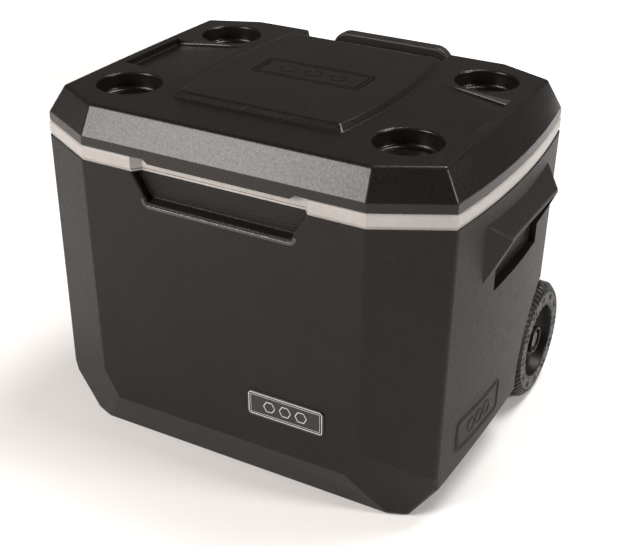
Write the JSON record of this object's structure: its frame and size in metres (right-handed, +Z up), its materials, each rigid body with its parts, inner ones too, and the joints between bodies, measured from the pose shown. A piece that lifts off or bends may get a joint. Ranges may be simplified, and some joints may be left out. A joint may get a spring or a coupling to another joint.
{
  "type": "wheeled cooler",
  "caption": "Insulated box on two wheels with a hinged lid, moulded cup holders, carrying handles, a sliding tow handle and a drain.",
  "frame": {"origin": "on the floor, at the middle of the overall length and depth", "axes": "+X to the right seen from the front (along the length), -Y out of the front, +Z up"},
  "size_m": [0.5874, 0.463, 0.4593],
  "materials": {
    "shell_plastic": "fine moulded texture, charcoal",
    "lid_plastic": "fine moulded texture, black",
    "liner_plastic": "smooth pale warm grey",
    "foam": "rigid cellular foam",
    "badge": "dark plate with a pale raised border",
    "fitting_plastic": "smooth black moulding",
    "rubber": "soft seal",
    "steel": "bright zinc-plated steel",
    "screw_steel": "plated screws",
    "handle_steel": "black powder-coated tube",
    "grip_plastic": "lightly textured black moulding",
    "wheel_plastic": "hard black moulding with a fine tread",
    "bush_plastic": "natural nylon"
  },
  "bodies": {
    "cooler_body": {"body_shell": "shell_plastic", "body_insulation": "foam", "liner": "liner_plastic", "front_badge": "badge", "drain_fitting": "fitting_plastic", "drain_gasket": "rubber", "drain_nut": "fitting_plastic", "drain_cap_pin": "steel", "hinge_base_left": "fitting_plastic", "hinge_base_right": "fitting_plastic", "hinge_pin_left": "steel", "hinge_pin_right": "steel", "hinge_base_screws": "screw_steel", "axle": "steel", "axle_spacers": "bush_plastic", "axle_washers": "steel", "axle_push_nuts": "steel", "axle_saddles": "fitting_plastic", "saddle_screws": "screw_steel", "handle_guide_left": "fitting_plastic", "handle_guide_right": "fitting_plastic", "guide_screws": "screw_steel"},
    "lid": {"lid_shell": "lid_plastic", "lid_insulation": "foam", "lid_liner": "liner_plastic", "hinge_leaf_left": "fitting_plastic", "hinge_leaf_right": "fitting_plastic", "hinge_leaf_screws": "screw_steel"},
    "tow_handle": {"handle_tube_left": "handle_steel", "handle_tube_right": "handle_steel", "handle_stops": "grip_plastic", "handle_grip": "grip_plastic", "grip_screws": "screw_steel"},
    "wheel_left": {"wheel_left": "wheel_plastic", "wheel_bush_left": "bush_plastic"},
    "wheel_right": {"wheel_right": "wheel_plastic", "wheel_bush_right": "bush_plastic"},
    "drain_cap": {"drain_cap": "fitting_plastic", "drain_cap_seal": "rubber"}
  },
  "joints": [
    {"name": "lid_hinge", "type": "hinge", "parent": "cooler_body", "child": "lid", "pos_m": [0, 0.176, 0.435], "axis": [-1, 0, 0], "range_deg": [0, 90]},
    {"name": "tow_handle_slide", "type": "slide", "parent": "cooler_body", "child": "tow_handle", "axis": [0, 0, 1], "range_m": [0, 0.278]},
    {"name": "wheel_left_spin", "type": "hinge", "parent": "cooler_body", "child": "wheel_left", "pos_m": [-0.2446, 0.1505, 0.081], "axis": [1, 0, 0], "continuous": true},
    {"name": "wheel_right_spin", "type": "hinge", "parent": "cooler_body", "child": "wheel_right", "pos_m": [0.2446, 0.1505, 0.081], "axis": [1, 0, 0], "continuous": true},
    {"name": "drain_cap_hinge", "type": "hinge", "parent": "cooler_body", "child": "drain_cap", "pos_m": [-0.2815, -0.07, 0.137], "axis": [0, 1, 0], "range_deg": [0, 120]}
  ]
}
